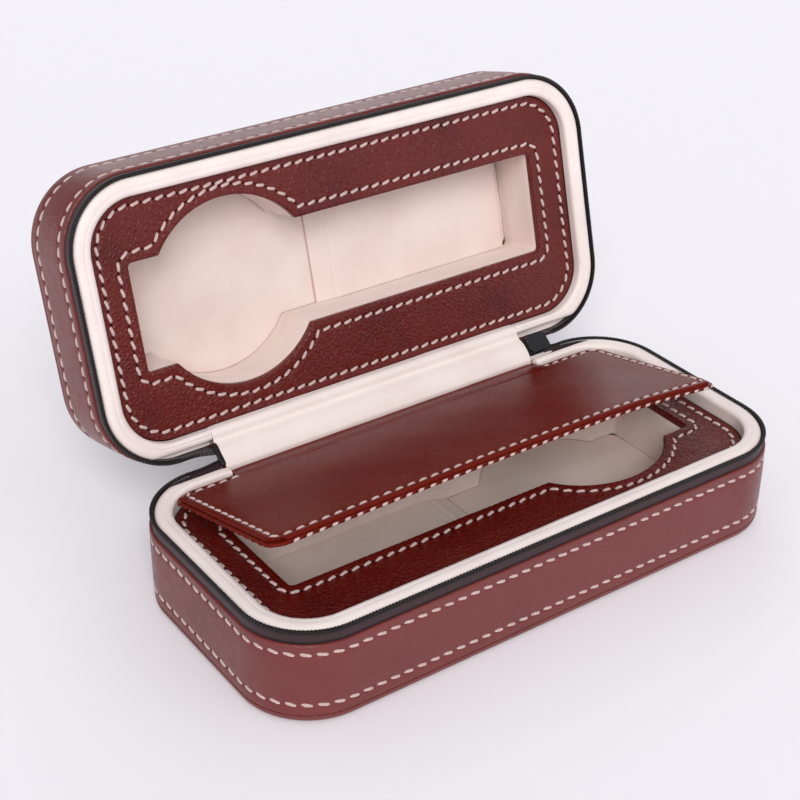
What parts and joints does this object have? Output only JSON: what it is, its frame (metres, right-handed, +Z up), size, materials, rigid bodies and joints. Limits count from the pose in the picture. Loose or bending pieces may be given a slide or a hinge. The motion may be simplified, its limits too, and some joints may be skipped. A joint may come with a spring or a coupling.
{
  "type": "watch travel case",
  "caption": "Rounded zip-round leather travel case for wrist watches, with a hinged lid, velvet wells in both halves and an inner flap.",
  "frame": {"origin": "middle of the flat face that the base rests on", "axes": "+X along the hinge, to the right when facing the opening; +Y towards the hinge; +Z up"},
  "size_m": [0.202, 0.1528, 0.1266],
  "materials": {
    "outer_leather": "glossy, fine pebble grain",
    "insert_leather": "glossy, fine pebble grain",
    "lip_leather": "soft satin",
    "velvet": "short velvet pile",
    "velvet_card": "short velvet pile over card",
    "board": "grey board",
    "foam": "matt foam",
    "zip_tape": "matt woven tape",
    "zip_coil": "satin",
    "zip_metal": "black enamel"
  },
  "bodies": {
    "base": {"base_bottom_leather": "outer_leather", "base_side_leather": "outer_leather", "base_side_board": "board", "base_floor_board": "board", "base_foam_core": "foam", "base_insert_board": "board", "base_insert_leather": "insert_leather", "base_well_lining": "velvet", "base_floor_card": "velvet_card", "base_strap_pad": "velvet", "base_lip": "lip_leather", "base_zip_tape": "zip_tape", "base_zip_coil": "zip_coil", "base_spine": "outer_leather", "base_hinge_lining": "lip_leather"},
    "lid": {"lid_top_leather": "outer_leather", "lid_side_leather": "outer_leather", "lid_side_board": "board", "lid_floor_board": "board", "lid_foam_core": "foam", "lid_insert_board": "board", "lid_insert_leather": "insert_leather", "lid_well_lining": "velvet", "lid_floor_card": "velvet_card", "lid_strap_pad": "velvet", "lid_lip": "lip_leather", "lid_zip_tape": "zip_tape", "lid_zip_coil": "zip_coil", "lid_spine": "outer_leather", "lid_hinge_lining": "lip_leather"},
    "hinge_web": {"hinge_bridge": "lip_leather", "zip_closed_end": "zip_tape", "zip_joined_tape": "zip_tape", "zip_joined_coil": "zip_coil"},
    "slider": {"slider_body": "zip_metal"},
    "pull": {"pull_tab": "zip_metal"},
    "flap": {"flap_cover": "insert_leather", "flap_board": "board", "flap_backing": "insert_leather", "flap_hinge_strip": "insert_leather"}
  },
  "joints": [
    {"name": "lid_hinge", "type": "hinge", "parent": "base", "child": "lid", "pos_m": [0, 0.0495, 0.033], "axis": [-1, 0, 0], "range_deg": [-104.6, 75.4]},
    {"name": "hinge_fold", "type": "hinge", "parent": "base", "child": "hinge_web", "pos_m": [0, 0.0495, 0.033], "axis": [-1, 0, 0], "range_deg": [-52.31, 37.71]},
    {"name": "flap_hinge", "type": "hinge", "parent": "base", "child": "flap", "pos_m": [0, 0.042, 0.0302], "axis": [-1, 0, 0], "range_deg": [-11.41, 8.23]},
    {"name": "slider_run", "type": "slide", "parent": "hinge_web", "child": "slider", "axis": [1, 0, 0], "range_m": [0, 0.006]},
    {"name": "pull_swing", "type": "hinge", "parent": "slider", "child": "pull", "pos_m": [0.06605, 0.05085, 0.03126], "axis": [0, 0.7912, 0.6115], "range_deg": [-90, 90]}
  ],
  "couplings": [
    {"joint": "hinge_fold", "follows": "lid_hinge", "ratio": 0.5},
    {"joint": "flap_hinge", "follows": "lid_hinge", "ratio": 0.10898}
  ]
}
